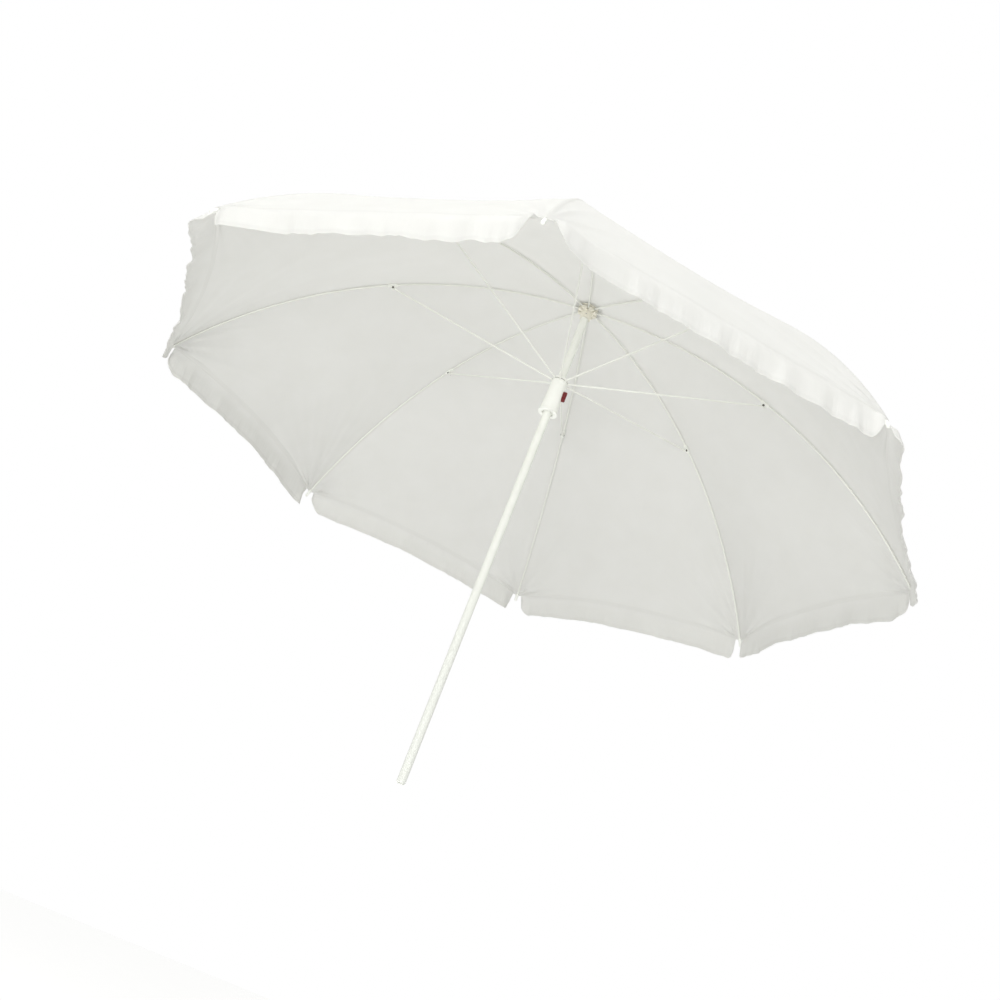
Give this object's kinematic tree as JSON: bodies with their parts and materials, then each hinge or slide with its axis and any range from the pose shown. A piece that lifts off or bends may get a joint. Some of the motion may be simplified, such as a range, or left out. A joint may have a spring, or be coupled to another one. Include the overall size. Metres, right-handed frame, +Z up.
{
  "type": "garden parasol head",
  "caption": "Open garden parasol head: canopy with valance on hinged bowed ribs, stretchers and a sliding runner with a push button on a tubular pole with an open lower end.",
  "frame": {"origin": "centre of the pole's open lower end", "axes": "+Z up the pole towards the crown; +X along rib 1"},
  "size_m": [1.7656, 1.7656, 1.2018],
  "materials": {
    "painted_steel_tube": "satin white lacquer on steel tube",
    "lacquered_wire": "white lacquer on steel wire",
    "zinc_plated_wire": "zinc-plated wire",
    "spring_steel": "tempered spring strip",
    "dark_rivet": "dark oxidised rivet",
    "crown_nylon": "cream moulded nylon",
    "white_plastic": "white moulded plastic",
    "red_plastic": "dark red moulded plastic",
    "black_plastic": "black moulded plastic",
    "canopy_cloth": "white woven polyester"
  },
  "bodies": {
    "root": {"pole": "painted_steel_tube", "socket_stop": "black_plastic", "crown": "crown_nylon", "crown_ring": "zinc_plated_wire", "crown_pin": "zinc_plated_wire", "top_cap": "white_plastic"},
    "rib_1": {"rib_1": "lacquered_wire", "rib_saddle_1": "white_plastic", "saddle_rivet_1": "dark_rivet", "rib_tip_cap_1": "white_plastic", "canopy_sector_1": "canopy_cloth"},
    "stretcher_1": {"stretcher_1": "lacquered_wire"},
    "rib_2": {"rib_2": "lacquered_wire", "rib_saddle_2": "white_plastic", "saddle_rivet_2": "dark_rivet", "rib_tip_cap_2": "white_plastic", "canopy_sector_2": "canopy_cloth"},
    "stretcher_2": {"stretcher_2": "lacquered_wire"},
    "rib_3": {"rib_3": "lacquered_wire", "rib_saddle_3": "white_plastic", "saddle_rivet_3": "dark_rivet", "rib_tip_cap_3": "white_plastic", "canopy_sector_3": "canopy_cloth"},
    "stretcher_3": {"stretcher_3": "lacquered_wire"},
    "rib_4": {"rib_4": "lacquered_wire", "rib_saddle_4": "white_plastic", "saddle_rivet_4": "dark_rivet", "rib_tip_cap_4": "white_plastic", "canopy_sector_4": "canopy_cloth"},
    "stretcher_4": {"stretcher_4": "lacquered_wire"},
    "rib_5": {"rib_5": "lacquered_wire", "rib_saddle_5": "white_plastic", "saddle_rivet_5": "dark_rivet", "rib_tip_cap_5": "white_plastic", "canopy_sector_5": "canopy_cloth"},
    "stretcher_5": {"stretcher_5": "lacquered_wire"},
    "rib_6": {"rib_6": "lacquered_wire", "rib_saddle_6": "white_plastic", "saddle_rivet_6": "dark_rivet", "rib_tip_cap_6": "white_plastic", "canopy_sector_6": "canopy_cloth"},
    "stretcher_6": {"stretcher_6": "lacquered_wire"},
    "rib_7": {"rib_7": "lacquered_wire", "rib_saddle_7": "white_plastic", "saddle_rivet_7": "dark_rivet", "rib_tip_cap_7": "white_plastic", "canopy_sector_7": "canopy_cloth"},
    "stretcher_7": {"stretcher_7": "lacquered_wire"},
    "rib_8": {"rib_8": "lacquered_wire", "rib_saddle_8": "white_plastic", "saddle_rivet_8": "dark_rivet", "rib_tip_cap_8": "white_plastic", "canopy_sector_8": "canopy_cloth"},
    "stretcher_8": {"stretcher_8": "lacquered_wire"},
    "runner": {"runner": "white_plastic", "runner_ring": "zinc_plated_wire", "button_spring": "spring_steel"},
    "button": {"push_button": "red_plastic"}
  },
  "joints": [
    {"name": "fold", "type": "hinge", "parent": "root", "child": "rib_1", "pos_m": [0.018, 0, 1.175], "axis": [0, 1, 0], "range_deg": [0, 60], "deforming": ["canopy_sector_1"]},
    {"name": "stretcher_swing_1", "type": "hinge", "parent": "rib_1", "child": "stretcher_1", "pos_m": [0.45402, 0, 1.07239], "axis": [0, 1, 0], "range_deg": [-120, 0]},
    {"name": "rib_fold_2", "type": "hinge", "parent": "root", "child": "rib_2", "pos_m": [0.01273, 0.01273, 1.175], "axis": [-0.7071, 0.7071, 0], "range_deg": [0, 60], "deforming": ["canopy_sector_2"]},
    {"name": "stretcher_swing_2", "type": "hinge", "parent": "rib_2", "child": "stretcher_2", "pos_m": [0.32104, 0.32104, 1.07239], "axis": [-0.7071, 0.7071, 0], "range_deg": [-120, 0]},
    {"name": "rib_fold_3", "type": "hinge", "parent": "root", "child": "rib_3", "pos_m": [0, 0.018, 1.175], "axis": [-1, 0, 0], "range_deg": [0, 60], "deforming": ["canopy_sector_3"]},
    {"name": "stretcher_swing_3", "type": "hinge", "parent": "rib_3", "child": "stretcher_3", "pos_m": [0, 0.45402, 1.07239], "axis": [-1, 0, 0], "range_deg": [-120, 0]},
    {"name": "rib_fold_4", "type": "hinge", "parent": "root", "child": "rib_4", "pos_m": [-0.01273, 0.01273, 1.175], "axis": [-0.7071, -0.7071, 0], "range_deg": [0, 60], "deforming": ["canopy_sector_4"]},
    {"name": "stretcher_swing_4", "type": "hinge", "parent": "rib_4", "child": "stretcher_4", "pos_m": [-0.32104, 0.32104, 1.07239], "axis": [-0.7071, -0.7071, 0], "range_deg": [-120, 0]},
    {"name": "rib_fold_5", "type": "hinge", "parent": "root", "child": "rib_5", "pos_m": [-0.018, 0, 1.175], "axis": [0, -1, 0], "range_deg": [0, 60], "deforming": ["canopy_sector_5"]},
    {"name": "stretcher_swing_5", "type": "hinge", "parent": "rib_5", "child": "stretcher_5", "pos_m": [-0.45402, 0, 1.07239], "axis": [0, -1, 0], "range_deg": [-120, 0]},
    {"name": "rib_fold_6", "type": "hinge", "parent": "root", "child": "rib_6", "pos_m": [-0.01273, -0.01273, 1.175], "axis": [0.7071, -0.7071, 0], "range_deg": [0, 60], "deforming": ["canopy_sector_6"]},
    {"name": "stretcher_swing_6", "type": "hinge", "parent": "rib_6", "child": "stretcher_6", "pos_m": [-0.32104, -0.32104, 1.07239], "axis": [0.7071, -0.7071, 0], "range_deg": [-120, 0]},
    {"name": "rib_fold_7", "type": "hinge", "parent": "root", "child": "rib_7", "pos_m": [0, -0.018, 1.175], "axis": [1, 0, 0], "range_deg": [0, 60], "deforming": ["canopy_sector_7"]},
    {"name": "stretcher_swing_7", "type": "hinge", "parent": "rib_7", "child": "stretcher_7", "pos_m": [0, -0.45402, 1.07239], "axis": [1, 0, 0], "range_deg": [-120, 0]},
    {"name": "rib_fold_8", "type": "hinge", "parent": "root", "child": "rib_8", "pos_m": [0.01273, -0.01273, 1.175], "axis": [0.7071, 0.7071, 0], "range_deg": [0, 60], "deforming": ["canopy_sector_8"]},
    {"name": "stretcher_swing_8", "type": "hinge", "parent": "rib_8", "child": "stretcher_8", "pos_m": [0.32104, -0.32104, 1.07239], "axis": [0.7071, 0.7071, 0], "range_deg": [-120, 0]},
    {"name": "runner_swivel", "type": "hinge", "parent": "stretcher_1", "child": "runner", "pos_m": [0.018, 0, 0.96977], "axis": [0, 1, 0], "range_deg": [0, 60]},
    {"name": "button_press", "type": "slide", "parent": "runner", "child": "button", "axis": [-0.9903, 0.1392, 0], "range_m": [0, 0.003], "stiffness_N_per_m": 1200, "springref_m": -0.002, "deforming": ["button_spring"]}
  ],
  "couplings": [
    {"joint": "stretcher_swing_1", "follows": "fold", "ratio": -2},
    {"joint": "rib_fold_2", "follows": "fold", "ratio": 1},
    {"joint": "stretcher_swing_2", "follows": "fold", "ratio": -2},
    {"joint": "rib_fold_3", "follows": "fold", "ratio": 1},
    {"joint": "stretcher_swing_3", "follows": "fold", "ratio": -2},
    {"joint": "rib_fold_4", "follows": "fold", "ratio": 1},
    {"joint": "stretcher_swing_4", "follows": "fold", "ratio": -2},
    {"joint": "rib_fold_5", "follows": "fold", "ratio": 1},
    {"joint": "stretcher_swing_5", "follows": "fold", "ratio": -2},
    {"joint": "rib_fold_6", "follows": "fold", "ratio": 1},
    {"joint": "stretcher_swing_6", "follows": "fold", "ratio": -2},
    {"joint": "rib_fold_7", "follows": "fold", "ratio": 1},
    {"joint": "stretcher_swing_7", "follows": "fold", "ratio": -2},
    {"joint": "rib_fold_8", "follows": "fold", "ratio": 1},
    {"joint": "stretcher_swing_8", "follows": "fold", "ratio": -2},
    {"joint": "runner_swivel", "follows": "fold", "ratio": 1}
  ]
}
